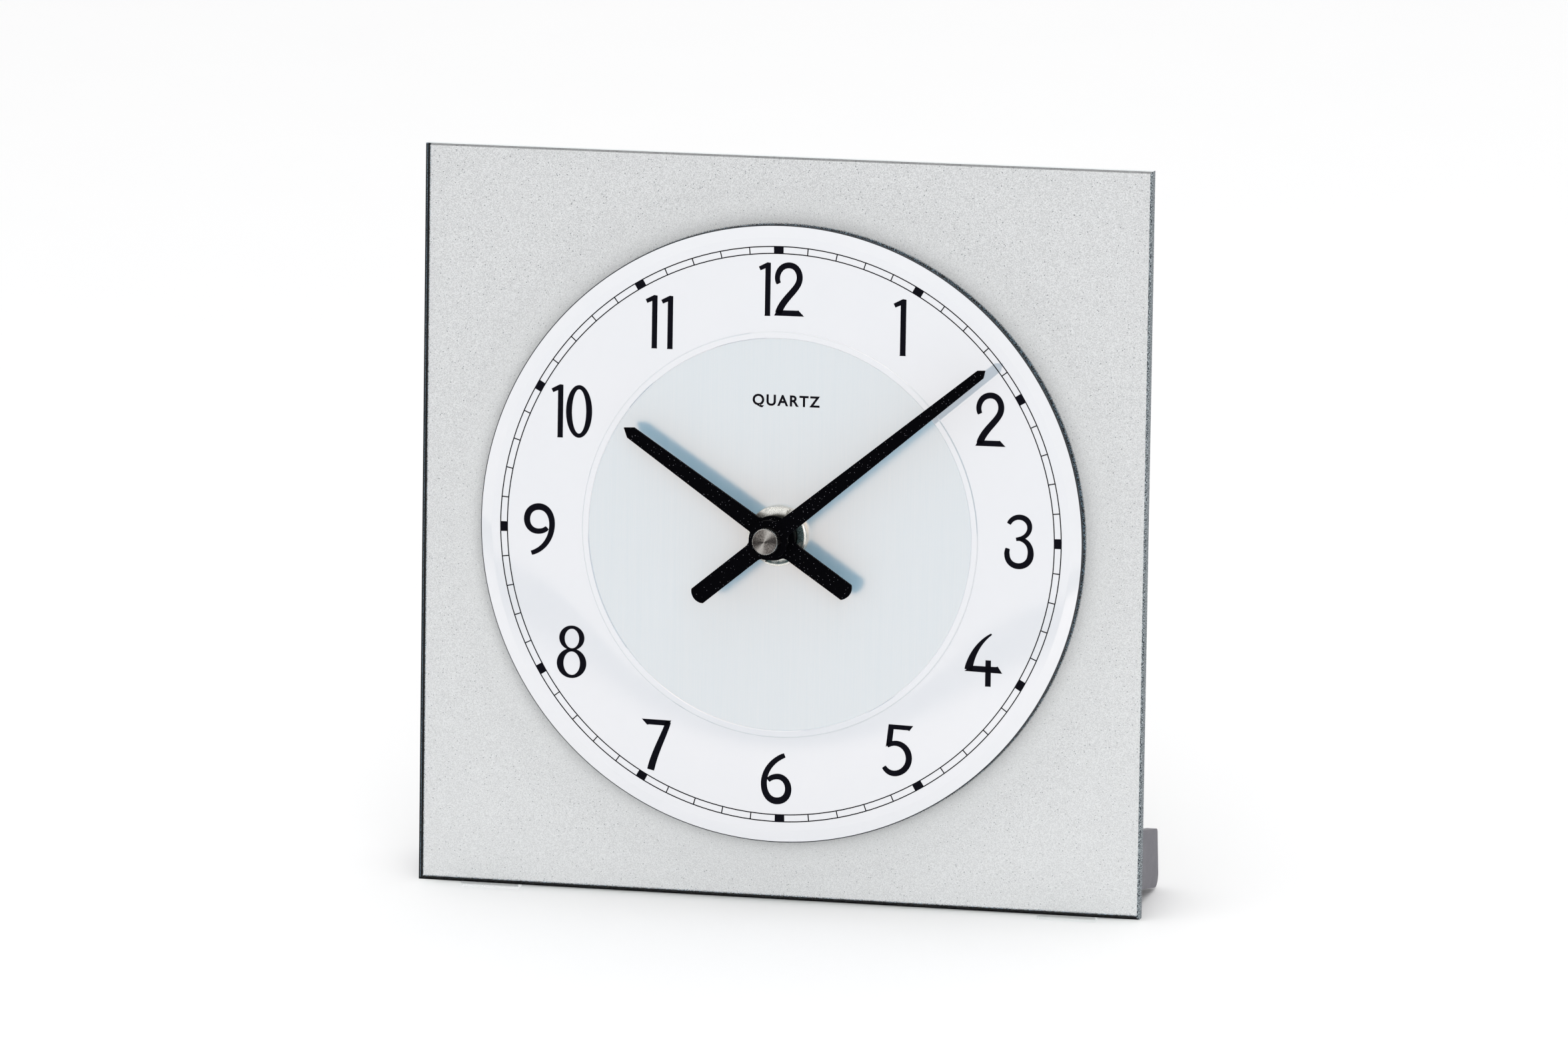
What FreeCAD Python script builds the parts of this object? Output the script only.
"""Square glass table clock with a quartz movement.

A 150 mm glass plate, lacquered silver on its back, leans back on a bar foot.  An aluminium dial is bonded to
its front, and a 56 mm quartz movement is clamped to it by one nut on the centre bush.

Everything is drawn in the clock's own frame: X to the right, Y backwards along the hand axis, Z up the glass,
with the origin where the hand axis meets the front of the glass.  The finished pieces are then leaned back and
set on the table: row frame +Z up, -Y to the front, origin on the table under the middle of the clock.
"""
import os
from math import cos, hypot, radians, sin, tan

import FreeCAD
import Part

V = FreeCAD.Vector

# --- Plate, dial and stance -----------------------------------------------------------------------------
PLATE_SIDE = 150.0
PLATE_THICK = 3.0
PLATE_ARRIS = 0.4
LEAN = 8.5                      # degrees that the plate leans back from the vertical
DIAL_DROP = 0.9                 # hand axis below the middle of the plate
COAT_THICK = 0.1
FILM_THICK = 0.15               # adhesive between dial and glass
FILM_EDGE_GAP = 1.5
DIAL_R = 62.35
DIAL_THICK = 1.0
RIM_BEVEL_R = 59.8              # where the dial's sloping rim begins
RIM_BEVEL_DROP = 0.4
BEAD_R_IN = 39.6                # raised ring round the brushed centre
BEAD_R_OUT = 41.0
BEAD_RISE = 0.2
GLASS_HOLE_GAP = 0.3            # gap round the bush, on the radius
DIAL_HOLE_GAP = 0.2

# --- Centre stack (radii, and stations along the hand axis) ---------------------------------------------
BUSH_R = 4.0
BUSH_BORE_R = 2.65
BUSH_FRONT = -4.4
BUSH_LEAD = 0.4                 # chamfer at the front of the thread
FLANGE_R = 6.0
FLANGE_THICK = 0.5
WASHER_R = 9.0
NUT_R = 6.1
NUT_FRONT = -3.0
NUT_EDGE = 0.3
NUT_THREAD_GAP = 0.05
NUT_SLOT = 2.0
NUT_SLOT_DEPTH = 0.7
NUT_SLOT_ANGLE = 35.0
HOUR_PIPE_R = 2.6
HOUR_PIPE_BORE_R = 1.85
HOUR_SEAT_R = 2.4
HOUR_SEAT_PROUD = 0.2           # seat showing in front of the hour hand
HOUR_HAND_BACK = -5.6
MINUTE_ARBOR_R = 1.8
MINUTE_SEAT_R = 1.5
MINUTE_HAND_BACK = -9.1
THREAD_R = 1.1
THREAD_LENGTH = 1.6
JOURNAL_R = 1.0                 # back end of the minute arbor, inside the centre drive wheel
HAND_THICK = 0.8
CAP_R = 2.75
CAP_FRONT = -13.0
CAP_CONE = 0.45                 # height of the cone on its face
CAP_CONE_INSET = 0.25
CAP_EDGE = 0.75
CAP_KNURLS = 44
CAP_KNURL_DEPTH = 0.12

# --- Hands: angles clockwise from twelve as seen from the front -----------------------------------------
MINUTE_ANGLE = 50.7
HOUR_ANGLE = -56.2
MINUTE_HAND = {"tip": 56.8, "shoulder": 55.5, "tip_width": 1.95, "root_width": 3.5,
               "tail": 19.6, "tail_width": 3.7, "boss_r": 4.0, "hole_r": MINUTE_SEAT_R}
HOUR_HAND = {"tip": 37.5, "shoulder": 35.8, "tip_width": 2.5, "root_width": 3.55,
             "tail": 19.2, "tail_width": 3.7, "boss_r": 4.5, "hole_r": HOUR_SEAT_R}
TAIL_ROUND_R = 2.5
BOSS_FILLET = 1.2               # where blade and tail run into the boss

# --- Movement case --------------------------------------------------------------------------------------
CASE_HALF = 28.0
WALL = 1.4
FLOOR_THICK = 1.2
WASHER_THICK = 1.5
CASE_FRONT = PLATE_THICK + COAT_THICK + WASHER_THICK
CASE_INSIDE = CASE_FRONT + FLOOR_THICK
CASE_DEPTH = 16.0
CASE_BACK = CASE_FRONT + CASE_DEPTH
COVER_THICK = 1.4
COVER_INSIDE = CASE_BACK - COVER_THICK
PARTITION_TOP = -10.6           # wall between the wheels and the battery bay
PARTITION_THICK = 1.0
CASE_CORNER_R = 3.0
BAY_TOP = PARTITION_TOP - PARTITION_THICK
INNER_HALF = CASE_HALF - WALL
POST_R = 1.5
POSTS = ((-22.0, 6.0), (22.0, -8.0), (17.0, 12.5), (-4.0, 20.0))
LIP_GAP = 0.1                   # cover's locating lip to the case wall
LIP_THICK = 1.2
LIP_DEPTH = 1.2
LIP_BOTTOM = -8.0
BEARING_R = 1.8                 # boss on the cover round the rotor's back pivot
BEARING_DEPTH = 1.6
STRIP_NOTCHES = ((-INNER_HALF, -25.9), (25.3, INNER_HALF))  # where the contact strips cross the partition
STRIP_NOTCH_RISE = (-0.2, 1.7)  # the notches' front and back, from the back of the board
BUSH_CASE_GAP = 0.03

# --- Wheel train ----------------------------------------------------------------------------------------
MOTION_DISTANCE = 12.0          # hand axis to minute wheel, and minute wheel to setting knob
TRAIN_DISTANCE = 10.8           # hand axis to third wheel, and hand axis to intermediate wheel
ROTOR_DISTANCE = 6.8
MINUTE_WHEEL_DIR = 150.0        # directions in the X-Z plane, from +X towards +Z
KNOB_DIR = 100.0
THIRD_DIR = 60.0
INTER_DIR = -20.0
ROTOR_DIR = 0.0
TEETH = {"cannon": 12, "minute_wheel": 36, "knob": 12, "minute_pinion": 10, "hour": 40, "centre": 60,
         "third_pinion": 8, "third": 64, "seconds_pinion": 8, "seconds": 48, "inter_pinion": 8, "inter": 40,
         "rotor_pinion": 8}
HOUR_LEVEL = (6.6, 7.6)         # front and back face of each layer of wheels
MOTION_LEVEL = (7.9, 8.9)
CENTRE_LEVEL = (9.5, 10.3)
THIRD_LEVEL = (10.6, 11.3)
SECONDS_LEVEL = (11.7, 12.4)
INTER_LEVEL = (12.7, 13.4)
ARBOR_R = 0.4
PIVOT_GAP = 0.05                # running clearance of every pivot, on the radius
PIVOT_DEPTH = 0.6               # how far a pivot reaches into its blind hole
PIVOT_END_GAP = 0.1
WHEEL_HUB_R = 2.0
BRIDGE = (13.7, 14.5)
BRIDGE_X = (-25.0, 25.0)
BRIDGE_Z = (-9.9, 21.5)
STUB_R = 1.2                    # stubs on the bridge that carry the circuit board
STUBS = ((-22.0, -7.0), (-12.0, -7.0))
ROTOR_HOLE_R = 1.6              # wide holes in the bridge for the rotor and the knob's shaft
KNOB_HOLE_R = 2.0
ADDENDUM = 0.75                 # tooth proportions, in modules
DEDENDUM = 1.05
TIP_SHARE = 0.16                # tooth widths as shares of the pitch
ROOT_SHARE = 0.50

# --- Setting knob ---------------------------------------------------------------------------------------
KNOB_PIVOT_R = 0.8
KNOB_SHAFT_R = 1.6
KNOB_COVER_HOLE_R = 1.9
KNOB_GRIP = (CASE_BACK + 0.4, CASE_BACK + 3.0)
KNOB_TOOTH_COUNT = 24
KNOB_TIP_R = 6.0
KNOB_ROOT_R = 5.5
KNOB_TOOTH = ((KNOB_TIP_R, 0.0), (KNOB_TIP_R, 0.4), (KNOB_ROOT_R, 0.57), (KNOB_ROOT_R, 0.83))
KNOB_DISH_R = 4.2
KNOB_DISH_DEPTH = 0.7

# --- Stepping motor, circuit and battery ----------------------------------------------------------------
MAGNET = (14.7, 16.7)
MAGNET_R = 2.5
MAGNET_BORE_R = 0.7
STATOR = (14.5, 15.5)
STATOR_X = (9.5, 24.5)
STATOR_Z = (-9.5, 2.0)
STATOR_TOP = 21.5
STATOR_LEG = 2.9
STATOR_HOLE_R = 2.9
CORE_Z = (18.2, 21.2)
CORE_Y = (STATOR[1], STATOR[1] + 1.0)
COIL_X = (13.0, 21.0)
COIL_Y = (13.2, 18.8)
COIL_Z = (16.9, 22.5)
BOBBIN_WALL = 0.6
WINDING_INSET = 0.4
WINDING_ROUND = 0.9
COIL_HOLE_GAP = 0.7             # opening in the bridge round the coil
BOARD = (15.3, 16.1)
BOARD_X = (-24.0, -10.0)
BOARD_Z = (-9.5, 0.5)
CHIP_AT = (-14.5, -3.5)
CHIP_BALL_R = 3.0
CHIP_HEIGHT = 1.2
CRYSTAL_R = 1.0
CRYSTAL_LENGTH = 6.0
CRYSTAL_AT = (-23.3, -1.5)
CRYSTAL_FLAT = 0.1
BATTERY_R = 7.1
BATTERY_ENDS = (-25.0, 24.2)
NUB_END = 25.55
NUB_R = 2.75
BATTERY_Y = 13.0
BATTERY_Z = -19.1
BATTERY_EDGE = 0.5
STRIP = 0.3                     # thickness of the contact strips
STRIP_WIDTH = 1.5
CONTACT_GAP = 0.05              # contact to battery
CONTACT_Y = (8.0, 18.0)
CONTACT_Z = (-24.5, -13.5)
LEAF_Z = (-23.0, -15.0)
LEAF_FOLD = ((8.0, 8.5), (12.0, 12.2), (14.0, 13.8), (17.0, 16.5))  # outer and inner Y of each fold
TAB_TOP = -6.5

# --- Foot -----------------------------------------------------------------------------------------------
FOOT_HALF = 73.0
FOOT_CAP = 2.0
FOOT_TOP = -57.9                # top front edge, measured from the middle of the plate
FOOT_HEIGHT = 12.0
FOOT_SLOPE = 6.5                # degrees that the foot drops towards the back
FOOT_BACK = 24.4
FOOT_WALL = 1.5
FOOT_TOP_R = 1.2
FOOT_BOTTOM_R = 2.5
FOOT_LEAST_R = 0.4              # smallest rounding of the hollow's corners
TAPE_THICK = 0.8
PAD_GAP = 0.6                   # table to the lowest point of the foot bar
FOOT_PLUG = 8.0                 # how far an end cap's plug reaches into the bar
PLUG_GAP = 0.1
TAPE_END_GAP = 4.0
TAPE_EDGE_GAP = 0.6
PAD_WIDTH = 12.0
PAD_AT = 60.0                   # pads to the middle of the clock
PAD_BLANK = 6.0
GLASS_PAD = (-2.6, -0.2)        # front and back of the pads, from the back of the glass
FOOT_PAD = (-10.0, -1.6)        # and from the back of the foot


def polar(distance, direction, start=(0.0, 0.0)):
    """Point in the X-Z plane at a distance and direction from another."""
    return (start[0] + distance * cos(radians(direction)), start[1] + distance * sin(radians(direction)))


MINUTE_WHEEL_AT = polar(MOTION_DISTANCE, MINUTE_WHEEL_DIR)
KNOB_AT = polar(MOTION_DISTANCE, KNOB_DIR, MINUTE_WHEEL_AT)
THIRD_AT = polar(TRAIN_DISTANCE, THIRD_DIR)
INTER_AT = polar(TRAIN_DISTANCE, INTER_DIR)
ROTOR_AT = polar(ROTOR_DISTANCE, ROTOR_DIR, INTER_AT)
HUB = (0.0, 0.0)


# --- Simple solids --------------------------------------------------------------------------------------
def block(x, y, z):
    """Box between pairs of limits."""
    return Part.makeBox(x[1] - x[0], y[1] - y[0], z[1] - z[0], V(x[0], y[0], z[0]))


def rod(radius, y, at=HUB):
    """Cylinder along the hand axis between two stations."""
    return Part.makeCylinder(radius, y[1] - y[0], V(at[0], y[0], at[1]), V(0, 1, 0))


def ring(outer, inner, y, at=HUB):
    return rod(outer, y, at).cut(rod(inner, y, at))


def prism(points, y):
    """Outline of (x, z) points, thickened along the hand axis."""
    wire = Part.makePolygon([V(x, y[0], z) for x, z in points + points[:1]])
    return Part.Face(wire).extrude(V(0, y[1] - y[0], 0))


def bar(points, x):
    """Outline of (y, z) points, extended along X."""
    wire = Part.makePolygon([V(x[0], y, z) for y, z in points + points[:1]])
    return Part.Face(wire).extrude(V(x[1] - x[0], 0, 0))


def turned(profile):
    """Outline of (radius, y) points, turned about the hand axis."""
    wire = Part.makePolygon([V(r, y, 0) for r, y in profile + profile[:1]])
    return Part.Face(wire).revolve(V(0, 0, 0), V(0, 1, 0), 360)


def join(first, *others):
    """One solid from overlapping pieces."""
    return first.multiFuse(list(others)).removeSplitter()


# --- Wheels ---------------------------------------------------------------------------------------------
def module_for(distance, *counts):
    return 2.0 * distance / sum(counts)


def mesh_phase(driver, driver_phase, driven, direction):
    """Angle of a driven wheel's tooth that puts it in mesh with its driver at rest."""
    pitch = 360.0 / TEETH[driven]
    turn = (direction - driver_phase) * TEETH[driver] / TEETH[driven]
    return direction + 180.0 + pitch / 2.0 + turn


def gear(name, module, level, at, phase):
    """Toothed wheel with stub teeth of straight flanks."""
    count = TEETH[name]
    pitch = 360.0 / count
    root = module * (count / 2.0 - DEDENDUM)
    tip = module * (count / 2.0 + ADDENDUM)
    points = []
    for tooth in range(count):
        middle = phase + tooth * pitch
        for radius, share in ((root, -ROOT_SHARE), (tip, -TIP_SHARE), (tip, TIP_SHARE), (root, ROOT_SHARE)):
            points.append(polar(radius, middle + share * pitch / 2.0, at))
    return prism(points, level)


# --- Plate and dial -------------------------------------------------------------------------------------
def glass_plate():
    half = PLATE_SIDE / 2.0
    plate = block((-half, half), (0.0, PLATE_THICK), (DIAL_DROP - half, DIAL_DROP + half))
    edges = [e for e in plate.Edges if abs(e.tangentAt(e.FirstParameter).y) < 0.5]
    return plate.makeChamfer(PLATE_ARRIS, edges).cut(rod(BUSH_R + GLASS_HOLE_GAP, (0.0, PLATE_THICK)))


def silver_coating():
    half = PLATE_SIDE / 2.0 - PLATE_ARRIS
    level = (PLATE_THICK, PLATE_THICK + COAT_THICK)
    film = block((-half, half), level, (DIAL_DROP - half, DIAL_DROP + half))
    return film.cut(rod(BUSH_R + GLASS_HOLE_GAP, level))


def dial_adhesive():
    return ring(DIAL_R - FILM_EDGE_GAP, BUSH_R + GLASS_HOLE_GAP, (-FILM_THICK, 0.0))


def dial_disc():
    """Bonded disc with a sloping rim and a raised ring round its centre."""
    back = -FILM_THICK
    front = back - DIAL_THICK
    bead = front - BEAD_RISE
    hole = BUSH_R + DIAL_HOLE_GAP
    return turned([(hole, back), (hole, front), (BEAD_R_IN, front), (BEAD_R_IN + BEAD_RISE, bead),
                   (BEAD_R_OUT - BEAD_RISE, bead), (BEAD_R_OUT, front), (RIM_BEVEL_R, front),
                   (DIAL_R, front + RIM_BEVEL_DROP), (DIAL_R, back)])


def centre_nut():
    """Round nut with a slot across its face for the key."""
    back = -FILM_THICK - DIAL_THICK
    bore = BUSH_R + NUT_THREAD_GAP
    nut = turned([(bore, back), (bore, NUT_FRONT), (NUT_R - NUT_EDGE, NUT_FRONT), (NUT_R, NUT_FRONT + NUT_EDGE),
                  (NUT_R, back)])
    slot = block((-NUT_SLOT / 2.0, NUT_SLOT / 2.0), (NUT_FRONT, NUT_FRONT + NUT_SLOT_DEPTH),
                 (-2.0 * NUT_R, 2.0 * NUT_R))
    slot.rotate(V(0, 0, 0), V(0, 1, 0), NUT_SLOT_ANGLE)
    return nut.cut(slot)


def rubber_washer():
    return ring(WASHER_R, BUSH_R + DIAL_HOLE_GAP, (PLATE_THICK + COAT_THICK, CASE_FRONT))


# --- Centre stack and hands -----------------------------------------------------------------------------
def centre_bush():
    """Threaded brass pipe, flanged inside the case."""
    flange = rod(FLANGE_R, (CASE_INSIDE, CASE_INSIDE + FLANGE_THICK))
    bore = rod(BUSH_BORE_R, (BUSH_FRONT, CASE_INSIDE + FLANGE_THICK))
    pipe = turned([(0.0, BUSH_FRONT), (BUSH_R - BUSH_LEAD, BUSH_FRONT), (BUSH_R, BUSH_FRONT + BUSH_LEAD),
                   (BUSH_R, CASE_INSIDE), (0.0, CASE_INSIDE)])
    return join(pipe, flange).cut(bore)


def hour_wheel():
    """Wheel and its pipe, which carries the hour hand on a reduced seat."""
    front = HOUR_HAND_BACK - HAND_THICK - HOUR_SEAT_PROUD
    teeth = gear("hour", module_for(MOTION_DISTANCE, TEETH["hour"], TEETH["minute_pinion"]), HOUR_LEVEL, HUB,
                 HOUR_PHASE)
    pipe = turned([(0.0, front), (HOUR_SEAT_R, front), (HOUR_SEAT_R, HOUR_HAND_BACK),
                   (HOUR_PIPE_R, HOUR_HAND_BACK), (HOUR_PIPE_R, HOUR_LEVEL[1]), (0.0, HOUR_LEVEL[1])])
    return join(teeth, pipe).cut(rod(HOUR_PIPE_BORE_R, (front, HOUR_LEVEL[1])))


def minute_arbor():
    """Arbor with the cannon pinion, the hand seat and thread in front, and the clutch journal behind."""
    seat_front = MINUTE_HAND_BACK - HAND_THICK
    thread_front = seat_front - THREAD_LENGTH
    journal_back = CENTRE_LEVEL[1] + PIVOT_END_GAP
    shaft = turned([(0.0, thread_front), (THREAD_R, thread_front), (THREAD_R, seat_front),
                    (MINUTE_SEAT_R, seat_front), (MINUTE_SEAT_R, MINUTE_HAND_BACK),
                    (MINUTE_ARBOR_R, MINUTE_HAND_BACK), (MINUTE_ARBOR_R, MOTION_LEVEL[1]),
                    (JOURNAL_R, MOTION_LEVEL[1]), (JOURNAL_R, journal_back), (0.0, journal_back)])
    pinion = gear("cannon", module_for(MOTION_DISTANCE, TEETH["cannon"], TEETH["minute_wheel"]), MOTION_LEVEL,
                  HUB, CANNON_PHASE)
    socket = rod(ARBOR_R + PIVOT_GAP, (CENTRE_LEVEL[1] - PIVOT_DEPTH - PIVOT_END_GAP, journal_back))
    return join(shaft, pinion).cut(socket)


def hand(size, angle, back):
    """Flat pointed hand with a round boss and a counterweight tail, rounded at its end."""
    level = (back - HAND_THICK, back)
    tip_half = size["tip_width"] / 2.0
    root_half = size["root_width"] / 2.0
    arm = prism([(-root_half, 0.0), (-tip_half, size["shoulder"]), (0.0, size["tip"]),
                 (tip_half, size["shoulder"]), (root_half, 0.0)], level)
    round_middle = TAIL_ROUND_R - size["tail"]
    across = (-size["tail_width"] / 2.0, size["tail_width"] / 2.0)
    tail = block(across, level, (-size["tail"], 0.0))
    end_block = block(across, level, (-size["tail"], round_middle))
    tail = tail.cut(end_block.cut(rod(TAIL_ROUND_R, level, (0.0, round_middle))))
    blade = join(arm, tail, rod(size["boss_r"], level))
    corners = [e for e in blade.Edges
               if abs(e.Length - HAND_THICK) < 1e-6
               and abs(hypot(e.CenterOfMass.x, e.CenterOfMass.z) - size["boss_r"]) < 0.01]
    blade = blade.makeFillet(BOSS_FILLET, corners)
    blade = blade.cut(rod(size["hole_r"], level))
    blade.rotate(V(0, 0, 0), V(0, 1, 0), angle)
    return blade


def minute_hand():
    return hand(MINUTE_HAND, MINUTE_ANGLE, MINUTE_HAND_BACK)


def hour_hand():
    return hand(HOUR_HAND, HOUR_ANGLE, HOUR_HAND_BACK)


def hand_nut():
    """Knurled cap nut with a shallow turned cone on its face."""
    back = MINUTE_HAND_BACK - HAND_THICK
    points = []
    for index in range(CAP_KNURLS):
        middle = index * 360.0 / CAP_KNURLS
        points.append(polar(CAP_R, middle))
        points.append(polar(CAP_R - CAP_KNURL_DEPTH, middle + 180.0 / CAP_KNURLS))
    knurled = prism(points, (CAP_FRONT, back))
    outside = CAP_R + CAP_KNURL_DEPTH
    shape = turned([(0.0, CAP_FRONT), (CAP_R - CAP_CONE_INSET, CAP_FRONT + CAP_CONE),
                    (outside, CAP_FRONT + CAP_EDGE), (outside, back), (0.0, back)])
    return knurled.common(shape).cut(rod(THREAD_R, (back - THREAD_LENGTH - PIVOT_END_GAP, back)))


# --- Motion work and setting knob -----------------------------------------------------------------------
def minute_wheel():
    wheel = gear("minute_wheel", module_for(MOTION_DISTANCE, TEETH["cannon"], TEETH["minute_wheel"]),
                 MOTION_LEVEL, MINUTE_WHEEL_AT, MINUTE_WHEEL_PHASE)
    pinion = gear("minute_pinion", module_for(MOTION_DISTANCE, TEETH["hour"], TEETH["minute_pinion"]),
                  (HOUR_LEVEL[0], MOTION_LEVEL[0]), MINUTE_WHEEL_AT, MINUTE_PINION_PHASE)
    return join(wheel, pinion, arbor(MINUTE_WHEEL_AT))


def arbor(at):
    """Thin shaft from a blind hole in the case floor to the bridge."""
    return rod(ARBOR_R, (CASE_INSIDE - PIVOT_DEPTH, BRIDGE[1] - 2.0 * PIVOT_END_GAP), at)


def setting_knob():
    """Pinion, shaft and the toothed grip behind the cover."""
    pinion = gear("knob", module_for(MOTION_DISTANCE, TEETH["knob"], TEETH["minute_wheel"]), MOTION_LEVEL,
                  KNOB_AT, KNOB_PHASE)
    pivot = rod(KNOB_PIVOT_R, (CASE_INSIDE - PIVOT_DEPTH, MOTION_LEVEL[0]), KNOB_AT)
    shaft = rod(KNOB_SHAFT_R, (MOTION_LEVEL[1], KNOB_GRIP[0]), KNOB_AT)
    pitch = 360.0 / KNOB_TOOTH_COUNT
    points = [polar(radius, (index + share) * pitch, KNOB_AT)
              for index in range(KNOB_TOOTH_COUNT) for radius, share in KNOB_TOOTH]
    grip = prism(points, KNOB_GRIP)
    dish = rod(KNOB_DISH_R, (KNOB_GRIP[1] - KNOB_DISH_DEPTH, KNOB_GRIP[1]), KNOB_AT)
    return join(pinion, pivot, shaft, grip).cut(dish)


# --- Going train ----------------------------------------------------------------------------------------
def centre_drive_wheel():
    """Wheel on the minute arbor's journal, which it drives by friction."""
    wheel = gear("centre", module_for(TRAIN_DISTANCE, TEETH["centre"], TEETH["third_pinion"]), CENTRE_LEVEL,
                 HUB, CENTRE_PHASE)
    hub = rod(WHEEL_HUB_R, (MOTION_LEVEL[1] + 2.0 * PIVOT_END_GAP, CENTRE_LEVEL[0]))
    bore = rod(JOURNAL_R + PIVOT_GAP, (MOTION_LEVEL[1], CENTRE_LEVEL[1]))
    return join(wheel, hub).cut(bore)


def third_wheel():
    wheel = gear("third", module_for(TRAIN_DISTANCE, TEETH["third"], TEETH["seconds_pinion"]), THIRD_LEVEL,
                 THIRD_AT, THIRD_PHASE)
    pinion = gear("third_pinion", module_for(TRAIN_DISTANCE, TEETH["centre"], TEETH["third_pinion"]),
                  (CENTRE_LEVEL[0], THIRD_LEVEL[0]), THIRD_AT, THIRD_PINION_PHASE)
    return join(wheel, pinion, arbor(THIRD_AT))


def seconds_wheel():
    wheel = gear("seconds", module_for(TRAIN_DISTANCE, TEETH["seconds"], TEETH["inter_pinion"]), SECONDS_LEVEL,
                 HUB, SECONDS_PHASE)
    pinion = gear("seconds_pinion", module_for(TRAIN_DISTANCE, TEETH["third"], TEETH["seconds_pinion"]),
                  (THIRD_LEVEL[0], SECONDS_LEVEL[0]), HUB, SECONDS_PINION_PHASE)
    shaft = rod(ARBOR_R, (CENTRE_LEVEL[1] - PIVOT_DEPTH, BRIDGE[1] - 2.0 * PIVOT_END_GAP))
    return join(wheel, pinion, shaft)


def intermediate_wheel():
    wheel = gear("inter", module_for(ROTOR_DISTANCE, TEETH["inter"], TEETH["rotor_pinion"]), INTER_LEVEL,
                 INTER_AT, INTER_PHASE)
    pinion = gear("inter_pinion", module_for(TRAIN_DISTANCE, TEETH["seconds"], TEETH["inter_pinion"]),
                  (SECONDS_LEVEL[0], INTER_LEVEL[0]), INTER_AT, INTER_PINION_PHASE)
    return join(wheel, pinion, arbor(INTER_AT))


def rotor_shaft():
    pinion = gear("rotor_pinion", module_for(ROTOR_DISTANCE, TEETH["inter"], TEETH["rotor_pinion"]),
                  INTER_LEVEL, ROTOR_AT, ROTOR_PINION_PHASE)
    shaft = rod(ARBOR_R, (CASE_INSIDE - PIVOT_DEPTH, COVER_INSIDE - PIVOT_DEPTH), ROTOR_AT)
    seat = rod(MAGNET_BORE_R, (INTER_LEVEL[1], MAGNET[1]), ROTOR_AT)
    return join(pinion, shaft, seat)


def rotor_magnet():
    return ring(MAGNET_R, MAGNET_BORE_R, MAGNET, ROTOR_AT)


# --- Movement case, bridge and cover --------------------------------------------------------------------
def front_case():
    """Tray with the floor, the pillars, the pivot holes and the open battery bay."""
    half = CASE_HALF
    body = block((-half, half), (CASE_FRONT, CASE_BACK), (-half, half))
    corners = [e for e in body.Edges if abs(e.tangentAt(e.FirstParameter).y) > 0.5]
    body = body.makeFillet(CASE_CORNER_R, corners)
    inner = (-INNER_HALF, INNER_HALF)
    body = body.cut(block(inner, (CASE_INSIDE, CASE_BACK), (PARTITION_TOP, INNER_HALF)))
    body = body.cut(block(inner, (CASE_INSIDE, CASE_BACK), (-INNER_HALF, BAY_TOP)))
    body = body.cut(block((-half, half), (COVER_INSIDE, CASE_BACK), (PARTITION_TOP, half)))
    pillars = [rod(POST_R, (CASE_FRONT + FLOOR_THICK / 2.0, BRIDGE[0]), at) for at in POSTS]
    body = join(body, *pillars)
    blind = (CASE_INSIDE - PIVOT_DEPTH - PIVOT_END_GAP, CASE_INSIDE)
    holes = [rod(ARBOR_R + PIVOT_GAP, blind, at) for at in (MINUTE_WHEEL_AT, THIRD_AT, INTER_AT, ROTOR_AT)]
    holes.append(rod(KNOB_PIVOT_R + PIVOT_GAP, blind, KNOB_AT))
    holes.append(rod(BUSH_R + BUSH_CASE_GAP, (CASE_FRONT, CASE_INSIDE)))
    notch_y = [BOARD[1] + rise for rise in STRIP_NOTCH_RISE]
    for x in STRIP_NOTCHES:
        holes.append(block(x, notch_y, (BAY_TOP, PARTITION_TOP)))
    for hole in holes:
        body = body.cut(hole)
    return body


def train_bridge():
    """Plate on the pillars that holds the back pivots."""
    plate = block(BRIDGE_X, BRIDGE, BRIDGE_Z)
    stubs = [rod(STUB_R, (BRIDGE[0], BOARD[0]), at) for at in STUBS]
    plate = join(plate, *stubs)
    holes = [rod(ARBOR_R + PIVOT_GAP, BRIDGE, at) for at in (HUB, MINUTE_WHEEL_AT, THIRD_AT, INTER_AT)]
    holes.append(rod(ROTOR_HOLE_R, BRIDGE, ROTOR_AT))
    holes.append(rod(KNOB_HOLE_R, BRIDGE, KNOB_AT))
    coil_hole_x = (COIL_X[0] - COIL_HOLE_GAP, COIL_X[1] + COIL_HOLE_GAP)
    holes.append(block(coil_hole_x, BRIDGE, (COIL_Z[0] - COIL_HOLE_GAP, COIL_Z[1])))
    for hole in holes:
        plate = plate.cut(hole)
    return plate


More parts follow.
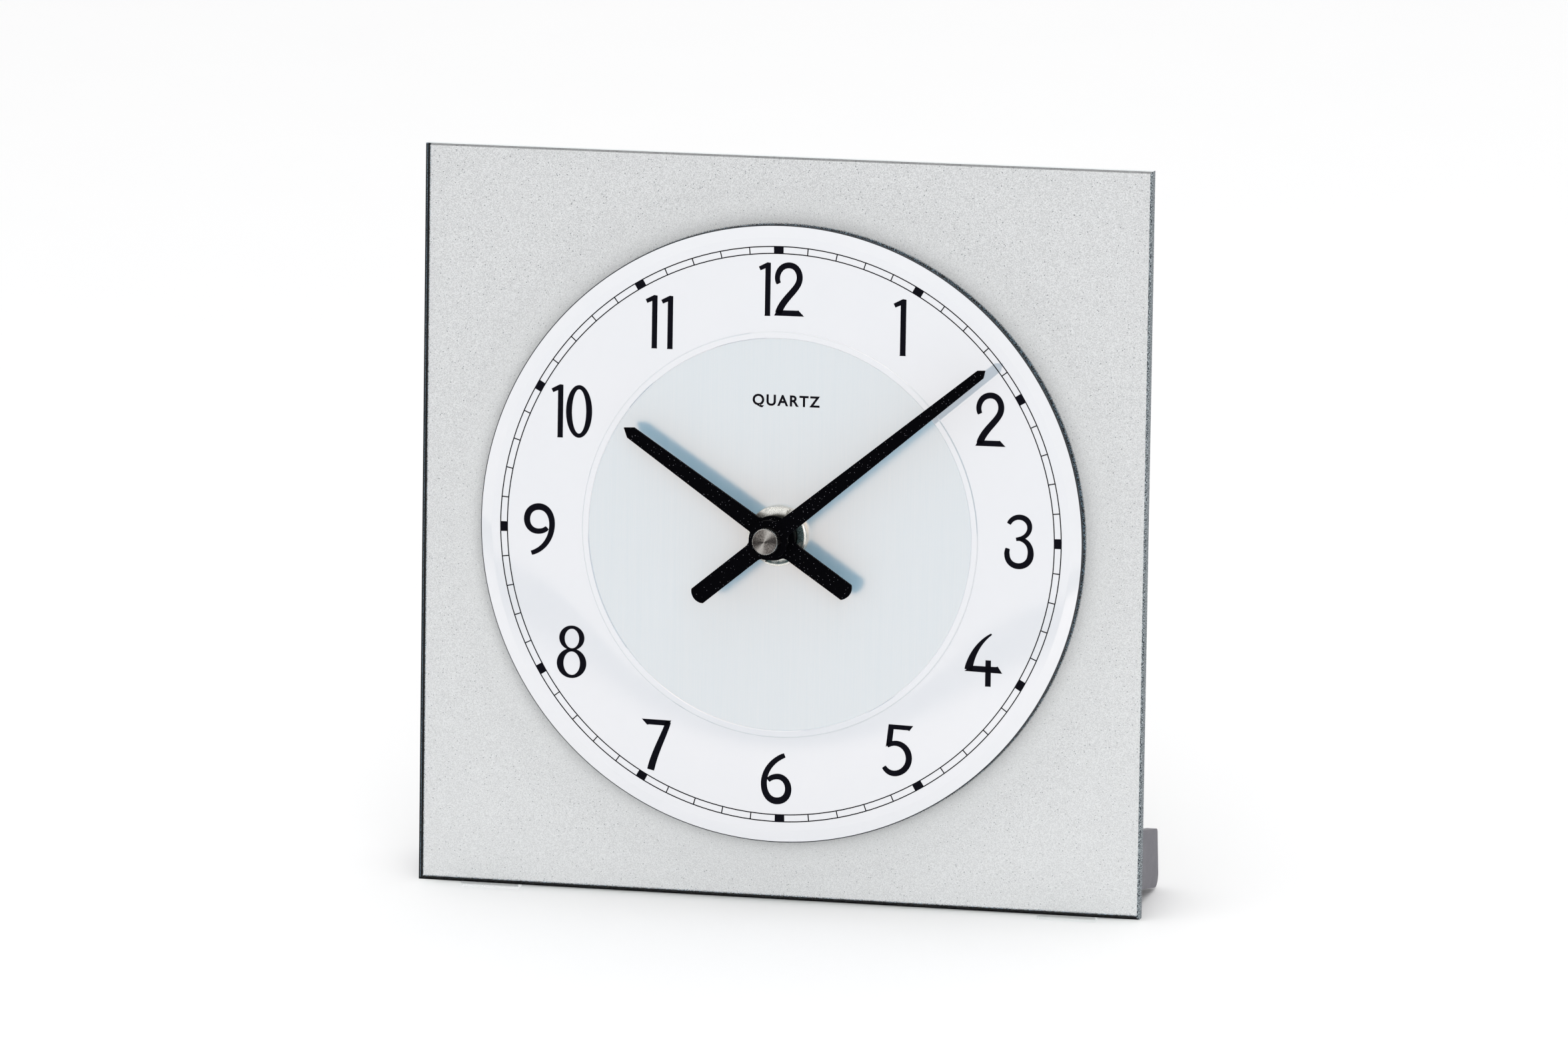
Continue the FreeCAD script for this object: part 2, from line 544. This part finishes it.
def rear_cover():
    """Lid over the wheels, with a locating lip and the rotor's back bearing."""
    lid = block((-CASE_HALF, CASE_HALF), (COVER_INSIDE, CASE_BACK), (PARTITION_TOP + PIVOT_GAP, CASE_HALF))
    corners = [e for e in lid.Edges
               if abs(e.tangentAt(e.FirstParameter).y) > 0.5 and e.CenterOfMass.z > CASE_HALF - 1.0]
    lid = lid.makeFillet(CASE_CORNER_R, corners)
    outer = INNER_HALF - LIP_GAP
    inner = outer - LIP_THICK
    lip_y = (COVER_INSIDE - LIP_DEPTH, COVER_INSIDE)
    lip = block((-outer, outer), lip_y, (LIP_BOTTOM, outer))
    lip = lip.cut(block((-inner, inner), lip_y, (LIP_BOTTOM, inner)))
    boss_front = COVER_INSIDE - BEARING_DEPTH
    lid = join(lid, lip, rod(BEARING_R, (boss_front, COVER_INSIDE), ROTOR_AT))
    bearing = rod(ARBOR_R + PIVOT_GAP, (boss_front, COVER_INSIDE - PIVOT_DEPTH + 2.0 * PIVOT_END_GAP), ROTOR_AT)
    return lid.cut(bearing).cut(rod(KNOB_COVER_HOLE_R, (COVER_INSIDE, CASE_BACK), KNOB_AT))


# --- Stepping motor -------------------------------------------------------------------------------------
def stator():
    """Flat yoke round the rotor, with two legs up to the coil."""
    yoke = block(STATOR_X, STATOR, STATOR_Z)
    leg_z = (STATOR_Z[1], STATOR_TOP)
    left = block((STATOR_X[0], STATOR_X[0] + STATOR_LEG), STATOR, leg_z)
    right = block((STATOR_X[1] - STATOR_LEG, STATOR_X[1]), STATOR, leg_z)
    return join(yoke, left, right).cut(rod(STATOR_HOLE_R, STATOR, ROTOR_AT))


def coil_core():
    return block(STATOR_X, CORE_Y, CORE_Z)


def former(x):
    """Core with the bobbin's wall round it."""
    y = (CORE_Y[0] - BOBBIN_WALL, CORE_Y[1] + BOBBIN_WALL)
    return block(x, y, (CORE_Z[0] - BOBBIN_WALL, CORE_Z[1] + BOBBIN_WALL))


def coil_bobbin():
    """Square former with a flange at each end, round the core."""
    left = block((COIL_X[0], COIL_X[0] + BOBBIN_WALL), COIL_Y, COIL_Z)
    right = block((COIL_X[1] - BOBBIN_WALL, COIL_X[1]), COIL_Y, COIL_Z)
    return join(former(COIL_X), left, right).cut(block(COIL_X, CORE_Y, CORE_Z))


def coil_winding():
    x = (COIL_X[0] + BOBBIN_WALL, COIL_X[1] - BOBBIN_WALL)
    y = (COIL_Y[0] + WINDING_INSET, COIL_Y[1] - WINDING_INSET)
    bundle = block(x, y, (COIL_Z[0] + WINDING_INSET, COIL_Z[1] - WINDING_INSET))
    long_edges = [e for e in bundle.Edges if abs(e.tangentAt(e.FirstParameter).x) > 0.5]
    return bundle.makeFillet(WINDING_ROUND, long_edges).cut(former(x))


# --- Circuit, contacts and battery ----------------------------------------------------------------------
def circuit_board():
    return block(BOARD_X, BOARD, BOARD_Z)


def chip_blob():
    """Dome of epoxy over the chip."""
    top = BOARD[1] + CHIP_HEIGHT
    ball = Part.makeSphere(CHIP_BALL_R, V(CHIP_AT[0], top - CHIP_BALL_R, CHIP_AT[1]))
    return ball.common(block(BOARD_X, (BOARD[1], top), BOARD_Z))


def quartz_crystal():
    """Round can lying on the board, with a flat where it is glued down."""
    axis_y = BOARD[1] + CRYSTAL_R - CRYSTAL_FLAT
    can = Part.makeCylinder(CRYSTAL_R, CRYSTAL_LENGTH, V(CRYSTAL_AT[0], axis_y, CRYSTAL_AT[1]), V(1, 0, 0))
    return can.common(block(BOARD_X, (BOARD[1], axis_y + CRYSTAL_R), BOARD_Z))


def positive_contact():
    """Spring strip facing the battery's nub, and its run along the partition to the board."""
    y = (BOARD[1], BOARD[1] + STRIP_WIDTH)
    x = (NUB_END + CONTACT_GAP, NUB_END + CONTACT_GAP + STRIP)
    run_z = (PARTITION_TOP, PARTITION_TOP + STRIP)
    tab_x = (BOARD_X[1] - 2.0, BOARD_X[1] - 0.5)
    plate = block(x, CONTACT_Y, CONTACT_Z)
    rise = block(x, y, (CONTACT_Z[1], run_z[1]))
    run = block((tab_x[0], x[1]), y, run_z)
    tab = block(tab_x, (BOARD[1], BOARD[1] + STRIP), (run_z[0], TAB_TOP))
    front_stop = block((x[1], INNER_HALF), (CONTACT_Y[0], CONTACT_Y[0] + STRIP), CONTACT_Z)
    back_stop = block((x[1], INNER_HALF), (CONTACT_Y[1] - STRIP, CONTACT_Y[1]), CONTACT_Z)
    return join(plate, rise, run, tab, front_stop, back_stop)


def negative_contact():
    """Folded leaf spring behind the battery's flat end, and its strip to the board."""
    wall = (-INNER_HALF, -INNER_HALF + STRIP)
    nose = BATTERY_ENDS[0] - CONTACT_GAP
    plate = block(wall, CONTACT_Y, CONTACT_Z)
    reach = (wall[1], nose, nose, wall[1])
    outer = [(x, fold[0]) for x, fold in zip(reach, LEAF_FOLD)]
    inner = [(max(x - STRIP, wall[1]), fold[1]) for x, fold in zip(reach, LEAF_FOLD)]
    outline = outer + inner[::-1]
    leaf_wire = Part.makePolygon([V(x, y, LEAF_Z[0]) for x, y in outline + outline[:1]])
    leaf = Part.Face(leaf_wire).extrude(V(0, 0, LEAF_Z[1] - LEAF_Z[0]))
    strip = block(wall, (BOARD[1], BOARD[1] + STRIP_WIDTH), (CONTACT_Z[1], TAB_TOP))
    tab = block((wall[0], BOARD_X[0] + STRIP_WIDTH), (BOARD[1], BOARD[1] + STRIP),
                (TAB_TOP - STRIP_WIDTH, TAB_TOP))
    return join(plate, leaf, strip, tab)


def battery():
    """Round cell with a nub on its positive end."""
    length = BATTERY_ENDS[1] - BATTERY_ENDS[0]
    can = Part.makeCylinder(BATTERY_R, length, V(BATTERY_ENDS[0], BATTERY_Y, BATTERY_Z), V(1, 0, 0))
    can = can.makeFillet(BATTERY_EDGE, [e for e in can.Edges if len(e.Vertexes) == 1])
    nub_start = BATTERY_ENDS[1] - BATTERY_EDGE
    nub = Part.makeCylinder(NUB_R, NUB_END - nub_start, V(nub_start, BATTERY_Y, BATTERY_Z), V(1, 0, 0))
    return join(can, nub)


# --- Foot -----------------------------------------------------------------------------------------------
def foot_outline(inset):
    """Corners of the foot's section: front top, back top, back bottom, front bottom."""
    drop = tan(radians(FOOT_SLOPE))
    start = PLATE_THICK + COAT_THICK + TAPE_THICK
    front = start + inset
    top = FOOT_TOP + DIAL_DROP - inset
    bottom = FOOT_TOP + DIAL_DROP - FOOT_HEIGHT + inset
    top_back = FOOT_BACK - inset
    bottom_back = top_back + tan(radians(LEAN)) * (top - bottom)
    return [(y, z - drop * (y - start))
            for y, z in ((front, top), (top_back, top), (bottom_back, bottom), (front, bottom))]


def foot_section(x, inset=0.0):
    """Length of the foot's section with its back corners rounded."""
    solid = bar(foot_outline(inset), x)
    _, top_back, bottom_back, _ = foot_outline(inset)
    for (y, z), radius in ((top_back, FOOT_TOP_R), (bottom_back, FOOT_BOTTOM_R)):
        edge = [e for e in solid.Edges if hypot(e.CenterOfMass.y - y, e.CenterOfMass.z - z) < 0.01]
        solid = solid.makeFillet(max(radius - inset, FOOT_LEAST_R), edge)
    return solid


def foot_bar():
    x = (-FOOT_HALF + FOOT_CAP, FOOT_HALF - FOOT_CAP)
    return foot_section(x).cut(foot_section(x, FOOT_WALL))


def foot_end_caps():
    """Moulded cap and plug at each end of the hollow foot."""
    inner = FOOT_HALF - FOOT_CAP
    plug_end = inner - FOOT_PLUG
    left = join(foot_section((-FOOT_HALF, -inner)), foot_section((-inner, -plug_end), FOOT_WALL + PLUG_GAP))
    right = join(foot_section((inner, FOOT_HALF)), foot_section((plug_end, inner), FOOT_WALL + PLUG_GAP))
    return Part.makeCompound([left, right])


def foot_tape():
    top = FOOT_TOP + DIAL_DROP - TAPE_EDGE_GAP
    bottom = FOOT_TOP + DIAL_DROP - FOOT_HEIGHT + TAPE_EDGE_GAP
    half = FOOT_HALF - TAPE_END_GAP
    glued = PLATE_THICK + COAT_THICK
    return block((-half, half), (glued, glued + TAPE_THICK), (bottom, top))


# --- Standing the clock on the table --------------------------------------------------------------------
def leaned(shape):
    """Tip a piece back with the plate."""
    tipped = shape.copy()
    tipped.rotate(V(0, 0, 0), V(1, 0, 0), -LEAN)
    return tipped


def pads_under(shape, y, table):
    """Two rubber blocks from the table up to the underside of a leaned piece."""
    pads = []
    for middle in (-PAD_AT, PAD_AT):
        x = (middle - PAD_WIDTH / 2.0, middle + PAD_WIDTH / 2.0)
        blank = block(x, y, (table, table + PAD_BLANK))
        lower = blank.cut(shape).Solids
        pads.append(min(lower, key=lambda solid: solid.BoundBox.ZMin))
    return Part.makeCompound(pads)


# Tooth phases, each following from the wheel it meshes with.
CANNON_PHASE = 0.0
MINUTE_WHEEL_PHASE = mesh_phase("cannon", CANNON_PHASE, "minute_wheel", MINUTE_WHEEL_DIR)
KNOB_PHASE = mesh_phase("minute_wheel", MINUTE_WHEEL_PHASE, "knob", KNOB_DIR)
MINUTE_PINION_PHASE = 0.0
HOUR_PHASE = mesh_phase("minute_pinion", MINUTE_PINION_PHASE, "hour", MINUTE_WHEEL_DIR + 180.0)
CENTRE_PHASE = 0.0
THIRD_PINION_PHASE = mesh_phase("centre", CENTRE_PHASE, "third_pinion", THIRD_DIR)
SECONDS_PINION_PHASE = 0.0
THIRD_PHASE = mesh_phase("seconds_pinion", SECONDS_PINION_PHASE, "third", THIRD_DIR)
SECONDS_PHASE = 0.0
INTER_PINION_PHASE = mesh_phase("seconds", SECONDS_PHASE, "inter_pinion", INTER_DIR)
INTER_PHASE = 0.0
ROTOR_PINION_PHASE = mesh_phase("inter", INTER_PHASE, "rotor_pinion", ROTOR_DIR)

MAKERS = (glass_plate, silver_coating, dial_adhesive, dial_disc, centre_nut, rubber_washer, centre_bush,
          hour_wheel, hour_hand, minute_arbor, minute_hand, hand_nut, minute_wheel, setting_knob,
          centre_drive_wheel, third_wheel, seconds_wheel, intermediate_wheel, rotor_shaft, rotor_magnet,
          front_case, train_bridge, rear_cover, stator, coil_core, coil_bobbin, coil_winding, circuit_board,
          chip_blob, quartz_crystal, positive_contact, negative_contact, battery, foot_bar, foot_end_caps,
          foot_tape)


def main():
    os.makedirs("parts", exist_ok=True)
    pieces = {maker.__name__: leaned(maker()) for maker in MAKERS}
    glass = pieces["glass_plate"]
    foot = pieces["foot_bar"]
    glass_back = glass.BoundBox.YMin + PLATE_THICK * cos(radians(LEAN))
    foot_back = foot.BoundBox.YMax
    table = foot.BoundBox.ZMin - PAD_GAP
    pieces["glass_edge_pads"] = pads_under(glass, [glass_back + y for y in GLASS_PAD], table)
    pieces["foot_pads"] = pads_under(foot, [foot_back + y for y in FOOT_PAD], table)
    whole = Part.makeCompound(list(pieces.values())).optimalBoundingBox(False, False)
    shift = V(-(whole.XMin + whole.XMax) / 2.0, -(whole.YMin + whole.YMax) / 2.0, -whole.ZMin)
    for name, shape in pieces.items():
        shape.translate(shift)
        shape.exportStep(os.path.join("parts", name + ".step"))
        print(name, len(shape.Solids), shape.isValid(), round(shape.Volume, 3))
    print("hand axis meets the glass at", (shift.x, shift.y, shift.z))
    print("size", whole.XLength, whole.YLength, whole.ZLength)


main()
